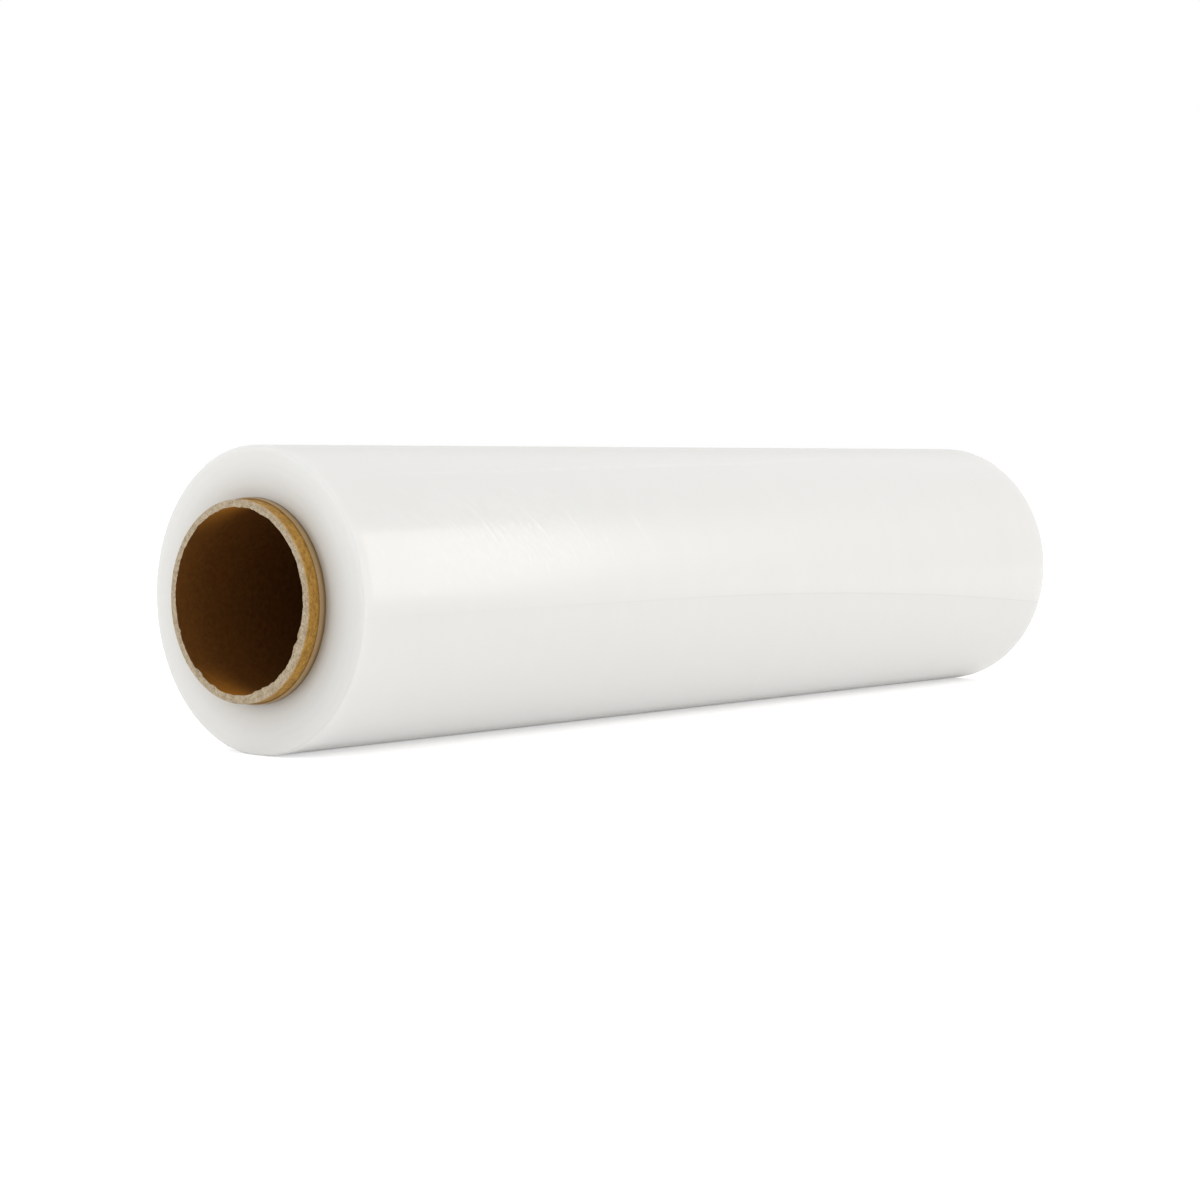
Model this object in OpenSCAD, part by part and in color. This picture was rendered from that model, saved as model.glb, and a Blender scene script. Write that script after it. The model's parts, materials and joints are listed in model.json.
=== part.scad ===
// Stretch wrap roll: thin clear film wound many turns deep on a paperboard core.
// The roll lies on its side, along X, on the small flat that its own weight presses.
// Its near end is the one at -X, and the film's loose edge is on the -Y side.

/* [Film] */
// Width of the film, which is the length of the wound body
film_w = 500; // [300:5:600]
// Outside diameter over the outermost turn
film_d = 126; // [110:1:200]
// Radius of the soft shoulder between a wound end and the side
shoulder_r = 1.2; // [0.6:0.1:2.5]

/* [Core] */
// Diameter of the bore, which goes over a dispenser's mandrel
core_bore = 76; // [50:1:80]
// Thickness of the paperboard wall
core_wall = 3; // [2:0.5:8]
// How far the core stands out of the film at each end
core_proud = 10; // [5:0.5:20]

/* [Wound ends] */
// Number of bands of turns that show on each end
band_count = 9; // [2:1:14]
// Deepest that a band lies below the wound end
band_depth = 0.3; // [0.1:0.05:0.8]
// How far the innermost turns creep out along the core
collar_l = 3; // [1:0.5:4]
// Thickness of the innermost turns that creep out
collar_t = 0.8; // [0.4:0.1:1.6]

/* [Loose edge] */
// Height of the step at the loose edge of the outermost turn
tail_step = 0.25; // [0.1:0.05:0.6]
// How far below the roll's axis the loose edge lies at the near end
tail_low = 4.6; // [0:0.2:12]
// Length of the straight stretch of the loose edge, from the near end
tail_straight = 190; // [40:5:260]
// How much further down the loose edge has curved at the far end
tail_drop = 14.5; // [4:0.5:24]

/* [Rest] */
// Width of the flat that the roll lies on
flat_w = 14; // [8:1:24]

/* [Hidden] */
$fn = 180;

// Plain overlap of cutting shapes past the faces that they cut
cut = 1;

// Radii and lengths of the core
bore_r = core_bore / 2;
core_r = bore_r + core_wall;
core_l = film_w + 2 * core_proud;

// The outermost turn is a cylinder set off-centre towards the loose edge. Its step is full there
// and fades to nothing at this angle round the roll, where it sinks into the turns below.
fade_angle = 150;
film_r = film_d / 2;
wound_r = film_r - tail_step;
turn_shift = tail_step / (1 - cos(fade_angle));
turn_r = film_r - turn_shift;
turn_inset = 0.3;
turn_l = film_w - 2 * (shoulder_r + turn_inset);
tail_angle = asin((tail_low + tail_drop / 2) / film_r);

// The loose edge leaves its straight stretch on an arc that reaches tail_drop at the far end
bend_l = film_w - tail_straight;
bend_r = (bend_l * bend_l + tail_drop * tail_drop) / (2 * tail_drop);
bend_facets = 720;

// Height of the roll's axis over the flat that it lies on
axis_h = sqrt(wound_r * wound_r - flat_w * flat_w / 4);

// Bands of turns on the ends, from the collar out to the flush band next to the shoulder
collar_r = core_r + collar_t;
flush_band = 1.5;
bands_r = wound_r - shoulder_r - flush_band;
band_w = (bands_r - collar_r) / band_count;
band_scatter = 137.5;

// Bites that the saw tore out of the bore's edge at the near end: angle round the bore from the
// loose edge's side, upwards, and radius
saw_bites = [[201, 0.9], [232, 1.4], [247, 0.8], [269, 0.8], [290, 1.0], [338, 0.9]];

// How far in from the wound end a band lies, from none to band_depth
function band_in(i) = band_depth * (1 + sin(i * band_scatter)) / 2;

// Lays what was drawn round Z along X
module along_x() {
    rotate([0, 90, 0])
        children();
}

// Half outline of the flush band and the rounded shoulders, as wide as the film
module outer_outline() {
    flat_r = wound_r - shoulder_r;
    translate([bands_r, -film_w / 2])
        square([flat_r - bands_r, film_w]);
    translate([bands_r, -film_w / 2 + shoulder_r])
        square([wound_r - bands_r, film_w - 2 * shoulder_r]);
    for (side = [-1, 1])
        translate([flat_r, side * (film_w / 2 - shoulder_r)])
            circle(r = shoulder_r);
}

// Half outline of the turns inside the flush band, with the collar and the stepped bands
module inner_outline() {
    end = film_w / 2;
    collar_end = [[core_r, end + collar_l], [collar_r, end + collar_l]];
    band_end = [
        for (i = [0 : band_count - 1], edge = [0, 1])
            [collar_r + (i + edge) * band_w, end - band_in(i)]
    ];
    upper = concat(collar_end, band_end);
    lower = [for (i = [len(upper) - 1 : -1 : 0]) [upper[i][0], -upper[i][1]]];
    polygon(concat(upper, lower));
}

// All the turns under the outermost one
module wound_turns() {
    along_x()
        rotate_extrude() {
            inner_outline();
            outer_outline();
        }
}

// The outermost turn, a ring set off-centre towards the loose edge, as wide as the straight side
module outermost_turn() {
    translate([0, -turn_shift * cos(tail_angle), -turn_shift * sin(tail_angle)])
        along_x()
            difference() {
                cylinder(r = turn_r, h = turn_l, center = true);
                cylinder(r = bands_r, h = turn_l + 2 * cut, center = true);
            }
}

// Everything below the loose edge, as a block right through the roll
module below_loose_edge() {
    block_h = film_d;
    bend_x = tail_straight - film_w / 2;
    rotate([90, 0, 0])
        linear_extrude(height = film_d + 2 * cut, center = true) {
            translate([-film_w / 2 - cut, -tail_low - block_h])
                square([tail_straight + cut, block_h]);
            intersection() {
                translate([bend_x - cut, -tail_low - block_h])
                    square([bend_l + 2 * cut, block_h + cut]);
                translate([bend_x, -tail_low - bend_r])
                    circle(r = bend_r, $fn = bend_facets);
            }
        }
}

// Spiral-wound paperboard tube, sawn to length
module core_tube() {
    color("#b98f50")
        translate([0, 0, axis_h])
            difference() {
                along_x()
                    cylinder(r = core_r, h = core_l, center = true);
                along_x()
                    cylinder(r = bore_r, h = core_l + 2 * cut, center = true);
                for (bite = saw_bites)
                    translate([-core_l / 2, -bore_r * cos(bite[0]), bore_r * sin(bite[0])])
                        sphere(r = bite[1]);
            }
}

// All the film's turns, as one solid that grips the core
module film_roll() {
    color("#e9e9e5")
        translate([0, 0, axis_h])
            difference() {
                union() {
                    wound_turns();
                    difference() {
                        outermost_turn();
                        below_loose_edge();
                    }
                }
                translate([-film_w / 2 - cut, -film_r, -axis_h - film_r])
                    cube([film_w + 2 * cut, film_d, film_r]);
            }
}

core_tube();
film_roll();
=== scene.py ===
"""Looks of a stretch wrap roll: milky film wound on a paperboard core, lying on its side."""
import json
import math
import random

import bmesh
import bpy
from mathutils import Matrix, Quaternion, Vector, noise


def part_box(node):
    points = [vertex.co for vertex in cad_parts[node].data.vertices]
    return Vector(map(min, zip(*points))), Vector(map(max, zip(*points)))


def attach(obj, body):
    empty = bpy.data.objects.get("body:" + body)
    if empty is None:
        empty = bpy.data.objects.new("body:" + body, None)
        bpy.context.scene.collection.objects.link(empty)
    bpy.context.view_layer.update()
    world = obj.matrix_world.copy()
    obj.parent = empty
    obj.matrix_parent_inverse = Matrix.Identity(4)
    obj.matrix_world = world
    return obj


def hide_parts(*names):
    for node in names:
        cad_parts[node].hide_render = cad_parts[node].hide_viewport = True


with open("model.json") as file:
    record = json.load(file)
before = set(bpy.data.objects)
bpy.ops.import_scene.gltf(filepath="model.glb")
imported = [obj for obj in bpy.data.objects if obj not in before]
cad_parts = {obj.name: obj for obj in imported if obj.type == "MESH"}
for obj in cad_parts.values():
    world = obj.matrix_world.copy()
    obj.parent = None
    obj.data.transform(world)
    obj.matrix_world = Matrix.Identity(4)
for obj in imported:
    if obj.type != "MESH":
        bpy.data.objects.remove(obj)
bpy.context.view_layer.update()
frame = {"record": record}

MM = 0.001
# Points closer than this become one, and a bend sharper than this shows as an edge
WELD = 0.004 * MM
SHARP_BEND = math.radians(38)

# Sizes of the roll, in millimetres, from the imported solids
CORE_LOW, CORE_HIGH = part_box("core_tube")
FILM_LOW, FILM_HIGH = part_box("film_roll")
MOUNTS = {mount["name"]: mount for mount in frame["record"]["mounts"]}
BORE_R = MOUNTS["core_bore"]["dims"]["r_mm"]
CORE_R = (CORE_HIGH[1] - CORE_LOW[1]) / 2 / MM
CORE_HALF = CORE_HIGH[0] / MM
AXIS_Z = (CORE_HIGH[2] + CORE_LOW[2]) / 2 / MM
FILM_R = -FILM_LOW[1] / MM
COLLAR_L = 3.0
COLLAR_T = 0.8
FILM_HALF = FILM_HIGH[0] / MM - COLLAR_L

# The outermost turn and its loose edge, as in the solid
TAIL_STEP = 0.25
TAIL_LOW = 4.6
TAIL_STRAIGHT = 190.0
TAIL_DROP = 14.5
FADE_ANGLE = math.radians(150)
WOUND_R = FILM_R - TAIL_STEP
TURN_SHIFT = TAIL_STEP / (1 - math.cos(FADE_ANGLE))
TURN_R = FILM_R - TURN_SHIFT
# Width of the flat that the roll lies on
FLAT_W = 14.0
# Width of the painted dark line of shade at the loose edge, to each side, in degrees round the roll
TAIL_LINE = 0.4
TAIL_ANGLE = -math.asin((TAIL_LOW + TAIL_DROP / 2) / FILM_R)
BEND_L = 2 * FILM_HALF - TAIL_STRAIGHT
BEND_R = (BEND_L ** 2 + TAIL_DROP ** 2) / (2 * TAIL_DROP)

# The wound ends, as in the solid
SHOULDER_R = 1.2
FLUSH_BAND = 1.5
BAND_COUNT = 9
BAND_DEPTH = 0.3
BAND_SCATTER = math.radians(137.5)
# Soft film blurs the steps between its bands, so they show at a part of their depth
BAND_SHOW = 0.3
COLLAR_R = CORE_R + COLLAR_T
BANDS_R = WOUND_R - SHOULDER_R - FLUSH_BAND

# The near saw cut lies this far in from its nominal place, and this much further on the loose edge's side
SAW_SHORT = 0.3
SAW_SKEW = 1.0

# Length of tube over which its wall follows the uneven cut
SAW_EASE = 8.0

# How far the bore's sawn edges are torn in and out, and over what length
LIP_TEAR = 0.42
LIP_LENGTH = 2.2
# Torn board that the saw pushed into the near end of the bore: angle, width, both in degrees, and depth
SAW_BURRS = [(305, 45, 0.9), (290, 6, 0.8), (338, 9, 1.2)]

# Bites of the saw in the bore's near edge: angle up from the loose edge's side, in degrees, and radius
SAW_BITES = [(201, 0.4), (232, 1.2), (247, 0.8), (269, 0.8), (290, 1.0), (338, 0.9)]

# How far round from +Y, downwards and in turns, the painted shade on the wound ends is deepest
END_SHADE_TURN = 0.39
# How far out from the core the wound ends are darkened by painted shade, with some of the core's brown
# showing through: faintly, and more strongly
CORE_SHADE_REACH = 19.0
BROWN_AND_SHADE_REACH = 4.5

# Wrinkles in the outermost turn: points as (mm from the near end, degrees up from the horizontal)
WRINKLES = [
    ([(52, 40), (57, 34)], 0.07),
    ([(58, 30), (64, 22)], 0.08),
    ([(67, 42), (72, 36), (77, 28), (80, 22)], 0.08),
    ([(101, 38), (106, 31), (112, 23)], 0.095),
    ([(127, 38), (131, 29), (137, 16)], 0.08),
    ([(170, 33), (173, 26), (178, 15)], 0.07),
    ([(83, 30), (85, 21), (90, 14)], 0.06),
    ([(94, 38), (97, 31), (101, 24)], 0.06),
    ([(30, 5), (36, 3)], 0.05),
    ([(69, 9), (76, 7)], 0.08),
]
CREASE = ([(36, 54.5), (73, 55), (120, 56), (160, 57.5), (200, 59), (283, 61), (330, 65), (400, 71)], 0.09)
FINE_WRINKLES = 130
FINE_SEED = 7
WRINKLE_WIDTH = 0.75
CREASE_WIDTH = 0.9
FINE_WIDTH = 0.55

# The camera of the photograph, worked out from the roll's outline
CAMERA_PLACE = Vector((-0.9299, -0.7769, 0.1184))
CAMERA_YAW = math.radians(-48.91)
CAMERA_TILT = math.radians(90 - 3.113)
CAMERA_LENS = 76.45

# Strength of the even light from all round and of the dimmer ceiling, where the camera sees 1
ROOM_LIGHT = 0.90
CEILING_LIGHT = 0.80
# Glow of the floor by itself, and what is added where it is looked at
FLOOR_GLOW = 0.05
FLOOR_SEEN_GLOW = 0.4
FLOOR_HALF = 60


def smooth_step(value, low, high):
    """0 below low, 1 above high and an even rise between them."""
    share = min(max((value - low) / (high - low), 0), 1)
    return share * share * (3 - 2 * share)


def spread(start, stop, step):
    """Evenly spaced values from start to, but without, stop, about a step apart."""
    count = max(1, round(abs(stop - start) / step))
    return [start + (stop - start) * i / count for i in range(count)]


def roll_point(x, radius, angle):
    """A point in metres from its place along the roll, its radius and its angle up from the -Y side."""
    y = -radius * math.cos(angle)
    z = AXIS_Z + radius * math.sin(angle)
    return Vector((x, y, max(z, 0))) * MM


def mesh_piece(name, points, faces, materials, slots, marks=None):
    """A smooth piece from points and faces, with a material for each face and marks at its points."""
    mesh = bpy.data.meshes.new(name)
    mesh.from_pydata(points, [], faces)
    for mark, values in (marks or {}).items():
        mesh.attributes.new(mark, "FLOAT", "POINT").data.foreach_set("value", values)
    for material in materials:
        mesh.materials.append(material)
    mesh.polygons.foreach_set("material_index", slots)
    work = bmesh.new()
    work.from_mesh(mesh)
    bmesh.ops.remove_doubles(work, verts=work.verts, dist=WELD)
    bmesh.ops.recalc_face_normals(work, faces=work.faces)
    work.to_mesh(mesh)
    work.free()
    mesh.shade_smooth()
    mesh.set_sharp_from_angle(angle=SHARP_BEND)
    piece = bpy.data.objects.new(name, mesh)
    bpy.context.collection.objects.link(piece)
    return piece


# Film

def tail_angle(x):
    """Angle of the loose edge at a place along the roll."""
    past = max(x + FILM_HALF - TAIL_STRAIGHT, 0)
    drop = BEND_R - math.sqrt(BEND_R ** 2 - past ** 2)
    return -math.asin((TAIL_LOW + drop) / FILM_R)


def turn_thickness(angle):
    """How far the outermost turn stands over the turns below it."""
    off = angle - TAIL_ANGLE
    reach = TURN_SHIFT * math.cos(off) + math.sqrt(TURN_R ** 2 - (TURN_SHIFT * math.sin(off)) ** 2)
    return max(reach - WOUND_R, 0) if off < FADE_ANGLE else 0


def wrinkle_stretches():
    """Every wrinkle as straight stretches: ends, share gone and length of each, height and width."""
    draw = random.Random(FINE_SEED)
    lines = [(points, height, WRINKLE_WIDTH) for points, height in WRINKLES]
    lines.append((*CREASE, CREASE_WIDTH))
    for _ in range(FINE_WRINKLES):
        along = draw.triangular(12, 180, 66)
        up = draw.triangular(6, 50, 34)
        length = draw.uniform(1.5, 7)
        lean = draw.gauss(0.6, 0.25)
        end = (along + length * lean, up - math.degrees(length / FILM_R))
        lines.append(([(along, up), end], draw.uniform(0.03, 0.075), FINE_WIDTH))
    stretches = []
    for points, height, width in lines:
        flat = [Vector((along - FILM_HALF, math.radians(up) * FILM_R)) for along, up in points]
        total = sum((b - a).length for a, b in zip(flat, flat[1:]))
        gone = 0
        for a, b in zip(flat, flat[1:]):
            stretches.append((a, b, gone / total, (b - a).length / total, height, width))
            gone += (b - a).length
    return stretches


# Waves of the film's side: narrow ones round the roll, slow ones, and the room that both need
RING_WAVE = 0.022
SLOW_WAVE = 0.03
WAVE_ROOM = 0.05

# Height of the fine crumple between the wrinkles, and how it leans: along and across its folds
CRUMPLE = 0.035
FOLD_WAY = Vector((0.6, -0.8))
FOLD_ACROSS = Vector((0.8, 0.6))

STRETCHES = wrinkle_stretches()
# How far from a wrinkle's ends its ridge is looked for, and the height that counts as a whole fold
WRINKLE_REACH = 3.0
FOLD_HEIGHT = 0.12
# How far round from the loose edge folds lie, and how far the outermost turn can stand over the next
FOLDS_END = math.radians(82)
TURN_END = math.radians(270)
# How far the bands on the ends dip below their nominal place, and how much that varies
END_DIP = 0.03
END_SWELL = 0.03


def wrinkle_height(x, angle):
    """Height of the wrinkles over the film at a place: the highest ridge there, thinning to its ends."""
    here = Vector((x, angle * FILM_R))
    best = 0
    for a, b, gone, part, height, width in STRETCHES:
        if not min(a.x, b.x) - WRINKLE_REACH < here.x < max(a.x, b.x) + WRINKLE_REACH:
            continue
        if not min(a.y, b.y) - WRINKLE_REACH < here.y < max(a.y, b.y) + WRINKLE_REACH:
            continue
        line = b - a
        at = min(max((here - a).dot(line) / line.length_squared, 0), 1)
        off = (here - a - line * at).length
        ends = math.sin(math.pi * min(max(gone + part * at, 0.03), 0.97)) ** 0.6
        broken = 0.6 + 0.8 * noise.noise(Vector((here.x * 0.3, here.y * 0.3, 5.5)))
        best = max(best, height * broken * ends * math.exp(-(off / width) ** 2))
    return best


def crumple_height(x, angle):
    """Height of the fine crumple of the outermost turn, which lies round the wrinkles."""
    along = x + FILM_HALF
    up = math.degrees(angle)
    patch = smooth_step(along, 22, 60) * (1 - smooth_step(along, 105, 175))
    patch *= smooth_step(up, 4, 16) * (1 - smooth_step(up, 34, 50))
    if not patch:
        return 0
    here = Vector((x, angle * FILM_R))
    spot = Vector((here.dot(FOLD_WAY) * 0.18, here.dot(FOLD_ACROSS) * 0.5, 2.7))
    ridge = max(1 - 3 * abs(noise.noise(spot)), 0)
    return CRUMPLE * patch * ridge


def fold_height(x, angle):
    """Height of wrinkles and crumple together."""
    return wrinkle_height(x, angle) + crumple_height(x, angle)


def side_radius(x, turn, angle):
    """Radius of the film's side: turn is the angle gone round from the loose edge's top."""
    rings = RING_WAVE * noise.noise(Vector((x * 0.055, 3.1, 0.4)))
    waves = SLOW_WAVE * noise.noise(Vector((x * 0.012, 2.2 * math.cos(angle), 2.2 * math.sin(angle))))
    top = turn_thickness(angle) if turn < TURN_END else 0
    ends = smooth_step(FILM_HALF - abs(x), SHOULDER_R * 0.4, SHOULDER_R * 5)
    ridge = fold_height(x, angle) if turn < FOLDS_END else 0
    return WOUND_R - WAVE_ROOM + ends * (top + rings + waves + ridge)


def band_in(i):
    """How far in from the wound end a band of turns lies."""
    return BAND_DEPTH * (1 + math.sin(i * BAND_SCATTER)) / 2


def end_rows():
    """Rows of the near wound end, from the bore out to the shoulder: place along the roll and radius."""
    gap = 0.12
    face = -FILM_HALF
    rows = [
        (face - COLLAR_L * 0.2, CORE_R),
        (face - COLLAR_L + 0.5, CORE_R + gap * 0.6),
        (face - COLLAR_L + 0.08, CORE_R + gap),
        (face - COLLAR_L, CORE_R + gap + 0.12),
        (face - COLLAR_L, COLLAR_R - 0.2),
        (face - COLLAR_L + 0.15, COLLAR_R - 0.04),
        (face - COLLAR_L * 0.6, COLLAR_R),
        (face - COLLAR_L * 0.3, COLLAR_R),
    ]
    width = (BANDS_R - COLLAR_R) / BAND_COUNT
    rows.append((face + band_in(0) * BAND_SHOW, COLLAR_R))
    for i in range(BAND_COUNT):
        for share in (0.2, 0.5, 0.8):
            rows.append((face + band_in(i) * BAND_SHOW, COLLAR_R + (i + share) * width))
    rows += [(face, BANDS_R + 0.2), (face, BANDS_R + FLUSH_BAND * 0.6)]
    return rows


def shoulder_rows():
    """Rows of the near shoulder: place along the roll and how far below the side's radius."""
    steps = 6
    rows = []
    for i in range(steps):
        bend = math.pi / 2 * (1 - i / steps)
        rows.append((-FILM_HALF + SHOULDER_R * (1 - math.sin(bend)), SHOULDER_R * (1 - math.cos(bend))))
    return rows


def film_rows():
    """All rows of the film, from the near bore over the side to the far bore: kind, place and radius."""
    fine_from = -FILM_HALF + 4
    fine_to = -FILM_HALF + 186
    side = spread(-FILM_HALF + SHOULDER_R, fine_from, 1.4)
    side += spread(fine_from, fine_to, 0.62)
    side += spread(fine_to, FILM_HALF - 9, 4.6)
    side += spread(FILM_HALF - 9, FILM_HALF - SHOULDER_R, 2)
    near = [("end", x, r) for x, r in end_rows()]
    near += [("side", x, drop) for x, drop in shoulder_rows()]
    far = [(kind, -x, r) for kind, x, r in reversed(near)]
    return near + [("side", x, 0) for x in side] + [("side", FILM_HALF - SHOULDER_R, 0)] + far


def film_turns():
    """Angles gone round from the loose edge, finest where the wrinkles are."""
    rest_half = math.asin(FLAT_W / 2 / WOUND_R)
    bottom = math.radians(270) - TAIL_ANGLE
    line = math.radians(TAIL_LINE)
    turns = [0] + spread(line, math.radians(52), math.radians(0.8))
    turns += spread(math.radians(52), math.radians(80), math.radians(0.9))
    turns += spread(math.radians(80), math.radians(258), math.radians(3.6))
    turns += spread(math.radians(258), bottom - rest_half, math.radians(2.5))
    turns += spread(bottom - rest_half, bottom + rest_half, math.radians(3.3))
    turns += spread(bottom + rest_half, math.radians(360) - line, math.radians(2.0))
    return turns + [math.radians(360) - line, math.radians(360)]


def film_angle(x, turn):
    """Angle of a grid line: it follows the loose edge close to it and runs straight further off."""
    above = 1 - smooth_step(turn, 0, math.radians(60))
    below = smooth_step(turn, math.radians(300), math.radians(360))
    return TAIL_ANGLE + turn + (above + below) * (tail_angle(x) - TAIL_ANGLE)


def make_film(film, collar):
    """The wound film as one closed piece, with the bands of turns, the loose edge and the wrinkles."""
    rows = film_rows()
    turns = film_turns()
    points = []
    marks = {"fold": [], "loose_edge": [], "below_edge": []}
    for kind, x, size in rows:
        for turn in turns:
            angle = film_angle(x, turn)
            if kind == "side":
                radius = side_radius(x, turn, angle) - size
                place = x
            else:
                radius = size
                spot = Vector((size * 0.6, 2 * math.cos(angle), 2 * math.sin(angle)))
                inward = END_DIP + END_SWELL * noise.noise(spot)
                place = x - math.copysign(inward, x) if COLLAR_R + 0.1 < size < BANDS_R else x
            points.append(roll_point(place, radius, angle))
            on_side = kind == "side" and turn < FOLDS_END
            marks["fold"].append(fold_height(x, angle) / FOLD_HEIGHT if on_side else 0)
            marks["loose_edge"].append(1 if kind == "side" and turn in (turns[0], turns[-1]) else 0)
            marks["below_edge"].append(smooth_step(turn, math.radians(310), math.radians(359)))
    wide = len(turns)
    faces = []
    slots = []
    for r in range(len(rows)):
        after = (r + 1) % len(rows)
        on_collar = max(rows[r][2], rows[after][2]) <= COLLAR_R and rows[r][0] == "end"
        for t in range(wide):
            beside = (t + 1) % wide
            faces.append((r * wide + t, r * wide + beside, after * wide + beside, after * wide + t))
            slots.append(1 if on_collar else 0)
    return mesh_piece("wound_film", points, faces, [film, collar], slots, marks)


# Core

def core_rows():
    """Rows of the core round its section: material, place along the roll and radius."""
    half = CORE_HALF
    edge = 0.18
    skin = spread(-half + edge, -half + 12, 0.8) + spread(-half + 12, half - 12, 40)
    skin += spread(half - 12, half - edge, 1.6) + [half - edge]
    plies = [CORE_R - inward for inward in (edge * 0.6, 0.5, 1.0, 1.5)]
    plies += [BORE_R + outward for outward in (1.0, 0.5, 0.15)]
    bore = spread(half, half - 4, 1.3) + spread(half - 4, -half + 70, 9)
    bore += spread(-half + 70, -half + 8, 3) + spread(-half + 8, -half, 0.7) + [-half]
    rows = [("skin", x, CORE_R) for x in skin]
    rows += [("rim", half, r) for r in plies]
    rows += [("bore", x, BORE_R) for x in bore]
    rows += [("rim", -half, r) for r in reversed(plies)]
    return rows


# Points round the core
CORE_AROUND = 330
# Seams between the strips of board, outside and in the bore: lead, start in turns, width and depth
SKIN_SEAM = (118, 0.31, 0.5, 0.14)
BORE_SEAM = (104, 0.12, 0.8, 0.16)


def spiral_groove(x, angle, lead, start, width, depth):
    """Depth of the seam between two strips of board that wind along the tube."""
    turn = (angle / (2 * math.pi) - x / lead - start) % 1
    off = min(turn, 1 - turn) * lead
    return depth * math.exp(-(off / width) ** 2)


def saw_bite(radius, angle):
    """How far in from the near sawn end the bites reach at a place on it."""
    deepest = 0
    for turned, size in SAW_BITES:
        round_off = (angle - math.radians(turned)) * BORE_R
        stretch = 2.6 if round_off < 0 else 1.1
        off = math.hypot(round_off / stretch, (radius - BORE_R) * 0.8)
        if off < size:
            deepest = max(deepest, math.sqrt(size ** 2 - off ** 2))
    return deepest


def saw_burr(angle):
    """How far torn board hangs into the bore at the near end."""
    total = 0
    for turned, width, depth in SAW_BURRS:
        off = (math.degrees(angle) - turned + 180) % 360 - 180
        total += depth * math.exp(-(off / width) ** 2)
    return total


def core_place(kind, x, radius, angle):
    """A point of the core, with the seams of its strips and the ragged saw cut."""
    ring = Vector((math.cos(angle), math.sin(angle), 0))
    from_end = CORE_HALF - abs(x)
    lip = (1 - smooth_step(from_end, 0, LIP_LENGTH)) * (radius < BORE_R + 0.3)
    if kind == "skin":
        radius -= spiral_groove(x, angle, *SKIN_SEAM)
    if kind == "bore":
        radius += spiral_groove(x, angle, *BORE_SEAM)
    tear = noise.noise(ring * 7 + Vector((4.2, 0, x * 0.3)))
    tear += 0.8 * noise.noise(ring * 24 + Vector((0, 1.7, x * 0.5)))
    burr = saw_burr(angle) if x < 0 else 0
    if from_end < SAW_EASE:
        fray = 0.5 + 0.5 * noise.noise(ring * 9 + Vector((0, 0, math.copysign(5.2, x) + radius * 1.3)))
        grain = 0.5 + 0.5 * noise.noise(ring * 55 + Vector((0, 0, radius * 2.1)))
        inward = 0.16 * fray + 0.1 * grain
        if x < 0:
            inward += saw_bite(radius, angle) + SAW_SHORT + SAW_SKEW * (1 + ring.x) / 2
        x -= math.copysign(inward * (1 - from_end / SAW_EASE), x)
    return x, radius + lip * (LIP_TEAR * tear - burr)


def make_core(skin, rim, bore):
    """The paperboard tube as one closed piece."""
    rows = core_rows()
    around = CORE_AROUND
    points = []
    for kind, x, size in rows:
        for i in range(around):
            angle = 2 * math.pi * i / around
            place, radius = core_place(kind, x, size, angle)
            points.append(roll_point(place, radius, angle))
    order = ("skin", "rim", "bore")
    faces = []
    slots = []
    for r in range(len(rows)):
        after = (r + 1) % len(rows)
        kinds = {rows[r][0], rows[after][0]}
        slot = 1 if "rim" in kinds else order.index(rows[r][0])
        for i in range(around):
            beside = (i + 1) % around
            faces.append((r * around + i, r * around + beside, after * around + beside, after * around + i))
            slots.append(slot)
    return mesh_piece("paperboard_core", points, faces, [skin, rim, bore], slots)


# Node helpers

def put(tree, kind, inputs=None, **settings):
    """Adds a node, with its settings and with each input linked to an output or set to a value."""
    made = tree.nodes.new(kind)
    for name, value in settings.items():
        setattr(made, name, value)
    for key, value in (inputs or {}).items():
        if isinstance(value, bpy.types.NodeSocket):
            tree.links.new(value, made.inputs[key])
        else:
            made.inputs[key].default_value = value
    return made


def calc(tree, operation, *values):
    """A Math node's result."""
    return put(tree, "ShaderNodeMath", dict(enumerate(values)), operation=operation).outputs[0]


def ramp(tree, value, low, high, out_low=0.0, out_high=1.0):
    """A smooth change from one number to another as value goes from low to high."""
    inputs = {"Value": value, "From Min": low, "From Max": high, "To Min": out_low, "To Max": out_high}
    return put(tree, "ShaderNodeMapRange", inputs, interpolation_type="SMOOTHSTEP").outputs["Result"]


def blend_colour(tree, share, first, second):
    """Mixes two colours. The Mix node keeps its colour sockets at 6 and 7, and its colour result at 2."""
    return put(tree, "ShaderNodeMix", {0: share, 6: first, 7: second}, data_type="RGBA").outputs[2]


def looked_at(tree):
    """1 where the camera, gloss or a see-through surface looks, and 0 for the light that falls."""
    path = put(tree, "ShaderNodeLightPath").outputs
    seen = calc(tree, "MAXIMUM", path["Is Camera Ray"], path["Is Glossy Ray"])
    return calc(tree, "MAXIMUM", seen, path["Is Transmission Ray"])


def new_group(name, inputs, outputs):
    """A shader node group with named number or colour inputs and outputs, and its two end nodes."""
    tree = bpy.data.node_groups.new(name, "ShaderNodeTree")
    for label, kind, value in inputs:
        socket = tree.interface.new_socket(label, in_out="INPUT", socket_type=kind)
        socket.default_value = value
    for label, kind in outputs:
        tree.interface.new_socket(label, in_out="OUTPUT", socket_type=kind)
    return tree, tree.nodes.new("NodeGroupInput"), tree.nodes.new("NodeGroupOutput")


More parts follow.
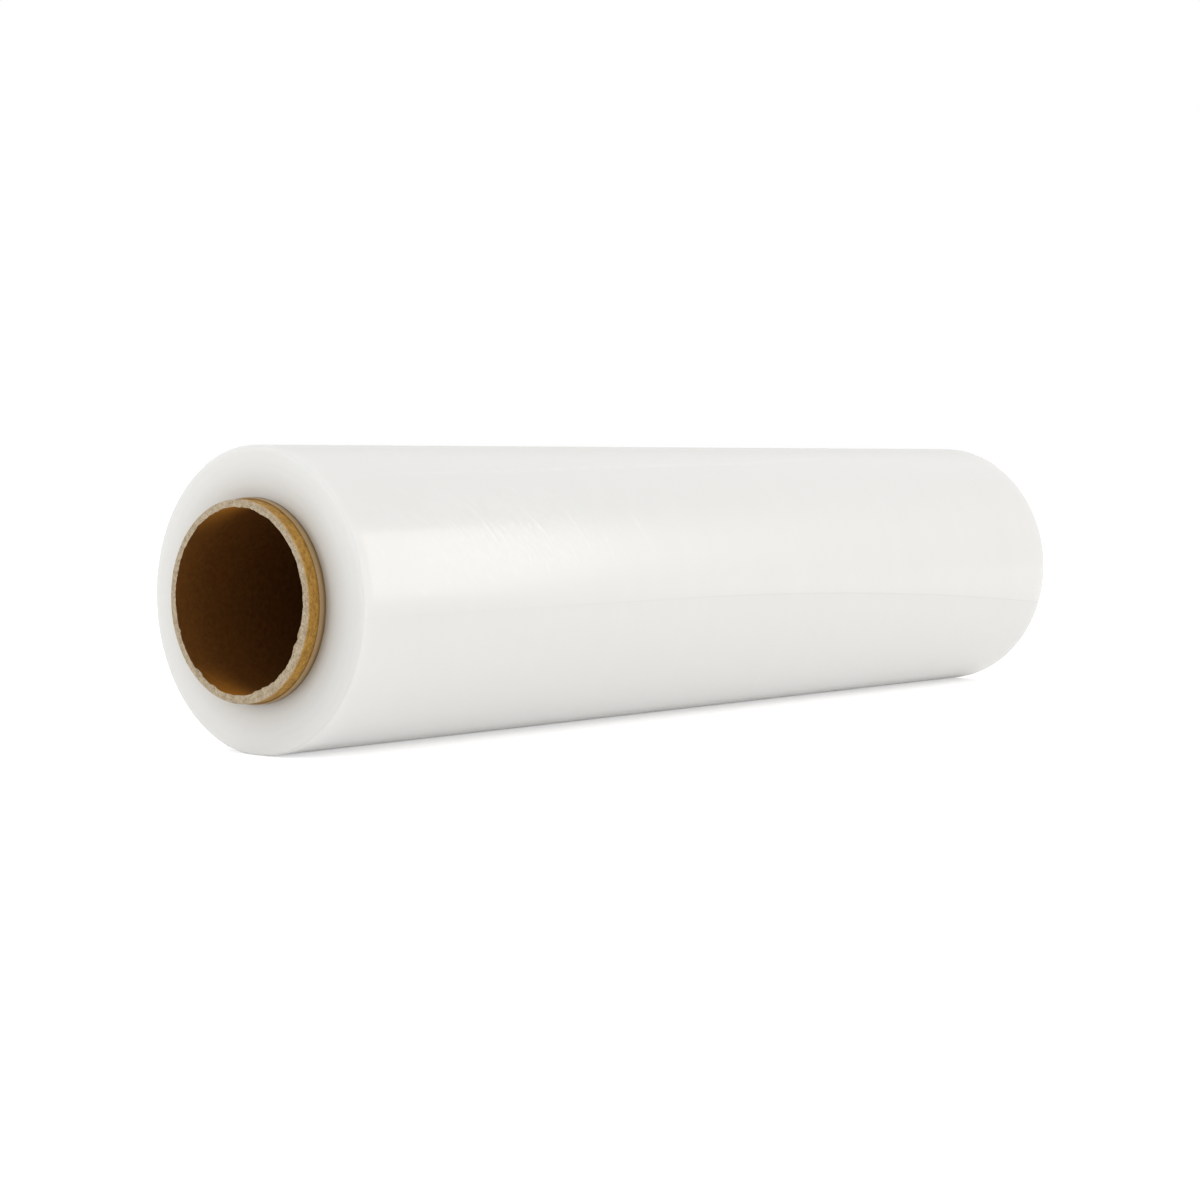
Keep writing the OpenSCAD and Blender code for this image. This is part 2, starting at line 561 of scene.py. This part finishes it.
def roll_coordinates_group():
    """Where a point is on the roll: along it and out from its axis in mm, and round it in turns."""
    outputs = [("Along", "NodeSocketFloat"), ("Radius", "NodeSocketFloat"), ("Turn", "NodeSocketFloat")]
    tree, _, out = new_group("roll_coordinates", [], outputs)
    where = put(tree, "ShaderNodeTexCoord").outputs["Object"]
    axes = put(tree, "ShaderNodeSeparateXYZ", {"Vector": where})
    along = calc(tree, "DIVIDE", axes.outputs["X"], MM)
    across = calc(tree, "DIVIDE", axes.outputs["Y"], MM)
    up = calc(tree, "SUBTRACT", calc(tree, "DIVIDE", axes.outputs["Z"], MM), AXIS_Z)
    squares = calc(tree, "ADD", calc(tree, "MULTIPLY", across, across), calc(tree, "MULTIPLY", up, up))
    tree.links.new(along, out.inputs["Along"])
    tree.links.new(calc(tree, "SQRT", squares), out.inputs["Radius"])
    tree.links.new(calc(tree, "DIVIDE", calc(tree, "ARCTAN2", up, across), 2 * math.pi), out.inputs["Turn"])
    return tree


def ring_lines_group():
    """Fine uneven rings round the axis, such as turns of film or plies of board seen on end."""
    inputs = [("Radius", "NodeSocketFloat", 40.0), ("Lines per mm", "NodeSocketFloat", 2.0)]
    tree, given, out = new_group("ring_lines", inputs, [("Lines", "NodeSocketFloat")])
    place = calc(tree, "MULTIPLY", given.outputs["Radius"], given.outputs["Lines per mm"])
    spot = put(tree, "ShaderNodeCombineXYZ", {"X": place, "Y": 0.37, "Z": 1.9}).outputs[0]
    fine = put(tree, "ShaderNodeTexNoise", {"Vector": spot, "Scale": 1.0, "Detail": 3.0, "Roughness": 0.6})
    tree.links.new(fine.outputs["Fac"], out.inputs["Lines"])
    return tree


def paper_fibre_group():
    """Fibres and flecks of paperboard."""
    inputs = [("Scale", "NodeSocketFloat", 900.0), ("Flecks", "NodeSocketFloat", 0.5)]
    outputs = [("Fibre", "NodeSocketFloat"), ("Fleck", "NodeSocketFloat"), ("Height", "NodeSocketFloat")]
    tree, given, out = new_group("paper_fibre", inputs, outputs)
    where = put(tree, "ShaderNodeTexCoord").outputs["Object"]
    long_way = put(tree, "ShaderNodeMapping", {"Vector": where, "Scale": (1.0, 0.35, 0.35)}).outputs[0]
    fibre = put(tree, "ShaderNodeTexNoise", {
        "Vector": long_way, "Scale": given.outputs["Scale"],
        "Detail": 4.0, "Roughness": 0.65, "Distortion": 0.8})
    mottle = put(tree, "ShaderNodeTexNoise", {
        "Vector": where, "Scale": 420.0, "Detail": 3.0, "Roughness": 0.6})
    speck_scale = calc(tree, "MULTIPLY", given.outputs["Scale"], 0.8)
    cells = put(tree, "ShaderNodeTexNoise", {
        "Vector": where, "Scale": speck_scale, "Detail": 2.0, "Roughness": 0.5})
    specks = ramp(tree, cells.outputs["Fac"], 0.57, 0.70)
    both = calc(tree, "ADD", calc(tree, "MULTIPLY", fibre.outputs["Fac"], 0.6),
                calc(tree, "MULTIPLY", mottle.outputs["Fac"], 0.4))
    tree.links.new(both, out.inputs["Fibre"])
    tree.links.new(calc(tree, "MULTIPLY", specks, given.outputs["Flecks"]), out.inputs["Fleck"])
    tree.links.new(fibre.outputs["Fac"], out.inputs["Height"])
    return tree


GROUPS = {make.__name__: make() for make in (roll_coordinates_group, ring_lines_group, paper_fibre_group)}


def use_group(tree, maker, inputs=None):
    """Places a shared group in a material, and gives its outputs."""
    return put(tree, "ShaderNodeGroup", inputs, node_tree=GROUPS[maker.__name__]).outputs


def new_material(name):
    """A material with its tree and its Principled shader."""
    material = bpy.data.materials.new(name)
    material.use_nodes = True
    return material, material.node_tree, material.node_tree.nodes["Principled BSDF"]


# Materials

def film_material():
    """Milky film: light passes a little way into it; close to the core it is darkened by painted shade,
    with some of the core's brown showing through.
    """
    material, tree, shader = new_material("milky_film")
    where = use_group(tree, roll_coordinates_group)
    along, radius, turn = where["Along"], where["Radius"], where["Turn"]
    from_end = calc(tree, "SUBTRACT", FILM_HALF, calc(tree, "ABSOLUTE", along))
    on_end = ramp(tree, from_end, 0.2, 1.3, 1.0, 0.0)

    # Bands of slightly thicker and thinner film round the side
    place = calc(tree, "MULTIPLY", along, 0.05)
    spot = put(tree, "ShaderNodeCombineXYZ", {"X": place, "Y": 0.0, "Z": 0.0}).outputs[0]
    gauge = put(tree, "ShaderNodeTexNoise", {
        "Vector": spot, "Scale": 1.0, "Detail": 4.0, "Roughness": 0.55})
    side = blend_colour(tree, gauge.outputs["Fac"], (0.815, 0.812, 0.795, 1), (0.845, 0.842, 0.825, 1))

    # The wound end is a little greyer, with fine rings of turns, and painted shade darkens it further low
    # on the loose edge's side
    rings = use_group(tree, ring_lines_group, {"Radius": radius, "Lines per mm": 3.0})["Lines"]
    ringed = blend_colour(tree, rings, (0.78, 0.78, 0.762, 1), (0.825, 0.825, 0.805, 1))
    # Painted shade, deepest low on the loose edge's side
    from_low = calc(tree, "MULTIPLY", calc(tree, "ADD", turn, END_SHADE_TURN), 2 * math.pi)
    low = ramp(tree, calc(tree, "COSINE", from_low), 0.3, 1.0, 0.0, 0.45)
    end = blend_colour(tree, low, ringed, (0.70, 0.70, 0.69, 1))
    # Whiter where the film lies doubled in a wrinkle, and the whiter lines also stand in as painted
    # highlight along the wrinkles
    fold = put(tree, "ShaderNodeAttribute", attribute_name="fold").outputs["Fac"]
    folded_and_glinting = blend_colour(tree, calc(tree, "MULTIPLY", fold, 0.6), side, (0.93, 0.93, 0.91, 1))

    # One turn less lies below the loose edge; painted shade darkens the film under it, fading downwards,
    # and the edge itself is painted as a fine dark line of shade. Both fade out towards the near end, where
    # the turn clings tighter.
    clear = ramp(tree, along, -170.0, 40.0, 0.15, 1.0)
    below = put(tree, "ShaderNodeAttribute", attribute_name="below_edge").outputs["Fac"]
    below = calc(tree, "MULTIPLY", below, clear)
    shaded_below_edge = blend_colour(tree, calc(tree, "MULTIPLY", below, 0.28), folded_and_glinting, (0.76, 0.76, 0.745, 1))
    edge = put(tree, "ShaderNodeAttribute", attribute_name="loose_edge").outputs["Fac"]
    edge = calc(tree, "MULTIPLY", edge, clear)
    edge_line_shaded = blend_colour(tree, calc(tree, "MULTIPLY", edge, 0.18), shaded_below_edge, (0.50, 0.50, 0.49, 1))
    milky = blend_colour(tree, on_end, edge_line_shaded, end)

    # Painted shade round the core, with some of the core's brown showing through the turns: a wide faint
    # grey and a stronger brown right beside it. The shade is painted deepest towards the loose edge's side,
    # where the core shades the wound end.
    facing = calc(tree, "COSINE", calc(tree, "MULTIPLY", turn, 2 * math.pi))
    wide = ramp(tree, radius, COLLAR_R, CORE_R + CORE_SHADE_REACH, 1.0, 0.0)
    shade_side_most = ramp(tree, facing, -0.95, -0.1, 0.57, 0.32)
    core_shade = calc(tree, "MULTIPLY", calc(tree, "POWER", wide, 1.6), shade_side_most)
    core_shaded = blend_colour(tree, calc(tree, "MULTIPLY", core_shade, on_end), milky, (0.45, 0.42, 0.37, 1))
    close = ramp(tree, radius, COLLAR_R, CORE_R + BROWN_AND_SHADE_REACH, 1.0, 0.0)
    brown_and_shade = calc(tree, "MULTIPLY", close, ramp(tree, facing, -0.95, -0.1, 0.50, 0.06))
    colour = blend_colour(tree, calc(tree, "MULTIPLY", brown_and_shade, on_end), core_shaded, (0.35, 0.24, 0.11, 1))

    # Fine lines that run round the film from its making, and small unevenness
    ripple_x = calc(tree, "MULTIPLY", along, 1.1)
    ripple_y = calc(tree, "MULTIPLY", turn, 5.0)
    ripple_at = put(tree, "ShaderNodeCombineXYZ", {"X": ripple_x, "Y": ripple_y, "Z": radius}).outputs[0]
    ripple = put(tree, "ShaderNodeTexNoise", {
        "Vector": ripple_at, "Scale": 1.0, "Detail": 3.0, "Roughness": 0.5})
    bump = put(tree, "ShaderNodeBump", {
        "Height": ripple.outputs["Fac"], "Strength": 0.25, "Distance": 0.00008})
    smooth = ramp(tree, gauge.outputs["Fac"], 0.3, 0.7, 0.28, 0.34)

    # The film clings tight and glossy on the loose edge's side, and is duller over the top and the back
    front = ramp(tree, facing, -0.5, -0.17, 1.0, 0.0)
    tight = calc(tree, "MULTIPLY", front, calc(tree, "SUBTRACT", 1.0, on_end))
    rough = calc(tree, "ADD", smooth, calc(tree, "MULTIPLY", calc(tree, "SUBTRACT", 1.0, tight), 0.3))
    gloss = calc(tree, "MULTIPLY", tight, 0.45)

    tree.links.new(colour, shader.inputs["Base Color"])
    tree.links.new(gloss, shader.inputs["Coat Weight"])
    tree.links.new(rough, shader.inputs["Roughness"])
    tree.links.new(bump.outputs["Normal"], shader.inputs["Normal"])
    shader.inputs["Subsurface Weight"].default_value = 0.55
    shader.inputs["Subsurface Radius"].default_value = (1.0, 0.95, 0.88)
    shader.inputs["Subsurface Scale"].default_value = 0.008
    shader.inputs["IOR"].default_value = 1.5
    shader.inputs["Coat Roughness"].default_value = 0.16
    return material


def collar_material():
    """The first few turns of film where they creep out on the core: the board shows through them, and
    painted shade darkens them where they meet the wound end.
    """
    material, tree, shader = new_material("film_over_core")
    where = use_group(tree, roll_coordinates_group)
    out = calc(tree, "SUBTRACT", calc(tree, "ABSOLUTE", where["Along"]), FILM_HALF)
    fibre = use_group(tree, paper_fibre_group, {"Scale": 900.0, "Flecks": 0.0})["Fibre"]
    tan = blend_colour(tree, fibre, (0.30, 0.19, 0.085, 1), (0.46, 0.32, 0.17, 1))
    # Painted shade: darkest where the collar runs into the wound end, paling to the board's tan further out
    colour = blend_colour(tree, ramp(tree, out, 0.5, 1.9), (0.20, 0.125, 0.055, 1), tan)
    tree.links.new(colour, shader.inputs["Base Color"])
    shader.inputs["Roughness"].default_value = 0.4
    shader.inputs["Specular IOR Level"].default_value = 0.35
    return material


# The painted light at the bore's mouths grows from beside the axis to above and below it, in metres, and
# leans from the back
MOUTH_LIGHT_RISE = (0.014, 0.040)
MOUTH_LIGHT_LEAN = 0.35


def board_material(name, dark, light, fleck, scale, flecks, roughness, bump_depth, gloss, plies=0.0,
                   lit_mouth=None, mouth_depth=1.0, mouth_fray=0.0, mouth_light_low=1.0):
    """Paperboard: two shades of fibre with flecks, plies where it is sawn, and a paler mouth at its ends,
    which is painted light.
    """
    material, tree, shader = new_material(name)
    fibre = use_group(tree, paper_fibre_group, {"Scale": scale, "Flecks": flecks})
    share = ramp(tree, fibre["Fibre"], 0.32, 0.68)
    height = fibre["Height"]
    if plies:
        radius = use_group(tree, roll_coordinates_group)["Radius"]
        lines = use_group(tree, ring_lines_group, {"Radius": radius, "Lines per mm": plies})["Lines"]
        share = calc(tree, "ADD", calc(tree, "MULTIPLY", share, 0.55), calc(tree, "MULTIPLY", lines, 0.45))
        height = calc(tree, "ADD", height, lines)
    board = blend_colour(tree, share, dark, light)
    colour = blend_colour(tree, fibre["Fleck"], board, fleck)
    if lit_mouth:
        along = use_group(tree, roll_coordinates_group)["Along"]
        inward = calc(tree, "SUBTRACT", CORE_HALF, calc(tree, "ABSOLUTE", along))
        frayed = calc(tree, "SUBTRACT", inward, calc(tree, "MULTIPLY", fibre["Fibre"], mouth_fray))
        at_mouth = ramp(tree, frayed, 0.0, mouth_depth, 1.0, 0.0)
        # Painted light falling into the mouth, raised above and below the axis and less towards the back
        where = put(tree, "ShaderNodeTexCoord").outputs["Object"]
        place = put(tree, "ShaderNodeSeparateXYZ", {"Vector": where})
        off_axis = calc(tree, "ABSOLUTE", calc(tree, "SUBTRACT", place.outputs["Z"], AXIS_Z * MM))
        off_back = calc(tree, "SUBTRACT", off_axis, calc(tree, "MULTIPLY", place.outputs["Y"], MOUTH_LIGHT_LEAN))
        painted_light_upright = ramp(tree, off_back, *MOUTH_LIGHT_RISE, mouth_light_low, 1.0)
        colour = blend_colour(tree, calc(tree, "MULTIPLY", at_mouth, painted_light_upright), colour, lit_mouth)
    bump = put(tree, "ShaderNodeBump", {"Height": height, "Strength": 0.6, "Distance": bump_depth})
    tree.links.new(colour, shader.inputs["Base Color"])
    tree.links.new(bump.outputs["Normal"], shader.inputs["Normal"])
    shader.inputs["Roughness"].default_value = roughness
    shader.inputs["Specular IOR Level"].default_value = gloss
    return material


def floor_material():
    """Plain white floor that keeps the roll's shadow and shows white to the camera and in gloss."""
    material, tree, shader = new_material("white_floor")
    shader.inputs["Base Color"].default_value = (0.9, 0.9, 0.9, 1)
    shader.inputs["Roughness"].default_value = 1.0
    shader.inputs["Specular IOR Level"].default_value = 0.0
    strength = calc(tree, "ADD", FLOOR_GLOW, calc(tree, "MULTIPLY", looked_at(tree), FLOOR_SEEN_GLOW))
    glow = put(tree, "ShaderNodeEmission", {"Color": (1, 1, 1, 1), "Strength": strength})
    both = put(tree, "ShaderNodeAddShader", {0: shader.outputs[0], 1: glow.outputs[0]})
    tree.links.new(both.outputs[0], tree.nodes["Material Output"].inputs["Surface"])
    return material


# Stage

def set_camera():
    """The photograph's camera."""
    lens = bpy.data.cameras.new("photo_camera")
    lens.lens = CAMERA_LENS
    lens.sensor_width = 36
    lens.clip_end = 200
    camera = bpy.data.objects.new("photo_camera", lens)
    camera.location = CAMERA_PLACE
    camera.rotation_euler = (CAMERA_TILT, 0, CAMERA_YAW)
    bpy.context.collection.objects.link(camera)
    bpy.context.scene.camera = camera


def set_world():
    """Even white light, which the camera and gloss see as plain white."""
    world = bpy.data.worlds.new("white_room")
    world.use_nodes = True
    tree = world.node_tree
    way = put(tree, "ShaderNodeTexCoord").outputs["Generated"]
    height = put(tree, "ShaderNodeSeparateXYZ", {"Vector": way}).outputs["Z"]
    room = ramp(tree, height, 0.3, 1.0, ROOM_LIGHT, CEILING_LIGHT)
    strength = calc(tree, "MAXIMUM", room, looked_at(tree))
    tree.links.new(strength, tree.nodes["Background"].inputs["Strength"])
    tree.nodes["Background"].inputs["Color"].default_value = (1, 1, 1, 1)
    bpy.context.scene.world = world


def softbox(name, azimuth, elevation, distance, width, height, watts, colour, lean=0):
    """A soft lamp that faces the roll's near end from a direction, and leans to one side, in degrees."""
    lamp = bpy.data.lights.new(name, "AREA")
    lamp.shape = "RECTANGLE"
    lamp.size = width
    lamp.size_y = height
    lamp.energy = watts
    lamp.color = colour
    item = bpy.data.objects.new(name, lamp)
    turned, raised = math.radians(azimuth), math.radians(elevation)
    level = Vector((math.cos(turned), math.sin(turned), 0))
    way = level * math.cos(raised) + Vector((0, 0, math.sin(raised)))
    aim = Vector((-FILM_HALF * 0.9, 0, AXIS_Z)) * MM
    item.location = aim + way * distance
    turned_by_lean = Quaternion((0, 0, 1), math.radians(lean))
    item.rotation_euler = (way.to_track_quat("Z", "Y") @ turned_by_lean).to_euler()
    bpy.context.collection.objects.link(item)


def make_floor():
    """A wide floor at the height that the roll lies on."""
    mesh = bpy.data.meshes.new("floor")
    corners = [(x * FLOOR_HALF, y * FLOOR_HALF, 0) for x, y in ((-1, -1), (1, -1), (1, 1), (-1, 1))]
    mesh.from_pydata(corners, [], [(0, 1, 2, 3)])
    mesh.materials.append(floor_material())
    floor = bpy.data.objects.new("floor", mesh)
    bpy.context.collection.objects.link(floor)


bpy.context.scene.view_settings.view_transform = "Standard"
set_camera()
set_world()
softbox("key_softbox", -42, 18, 3.0, 0.5, 2.0, 8.5, (1.0, 0.92, 0.81), lean=-20)
softbox("side_softbox", -82, 14, 0.9, 0.8, 0.5, 0.4, (1, 1, 1))
softbox("end_softbox", 162, 12, 1.8, 1.0, 1.0, 4.6, (1, 1, 1))
make_floor()

film = make_film(film_material(), collar_material())
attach(film, "root")
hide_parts("film_roll")

# The skin's paler mouth is a painted highlight along its rounded sawn edge
kraft = board_material(
    "kraft_skin", dark=(0.28, 0.135, 0.02, 1), light=(0.55, 0.305, 0.062, 1), fleck=(0.20, 0.09, 0.018, 1),
    scale=1300, flecks=0.5, roughness=0.5, bump_depth=0.0001, gloss=0.2,
    lit_mouth=(0.68, 0.47, 0.23, 1), mouth_depth=2.3, mouth_fray=1.0)
sawn = board_material(
    "sawn_rim", dark=(0.27, 0.19, 0.105, 1), light=(0.68, 0.58, 0.43, 1), fleck=(0.12, 0.075, 0.035, 1),
    scale=2400, flecks=0.9, roughness=0.9, bump_depth=0.0003, gloss=0.2, plies=2.6)
# The liner's paler mouth is painted light falling into the bore, brightest at the top and bottom
liner = board_material(
    "bore_liner", dark=(0.115, 0.041, 0.007, 1), light=(0.168, 0.064, 0.011, 1),
    fleck=(0.07, 0.022, 0.004, 1), scale=1400, flecks=0.3, roughness=0.75, bump_depth=0.00006, gloss=0.12,
    lit_mouth=(0.50, 0.20, 0.024, 1), mouth_depth=20.0, mouth_fray=3.0, mouth_light_low=0.05)
core = make_core(kraft, sawn, liner)
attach(core, "root")
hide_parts("core_tube")
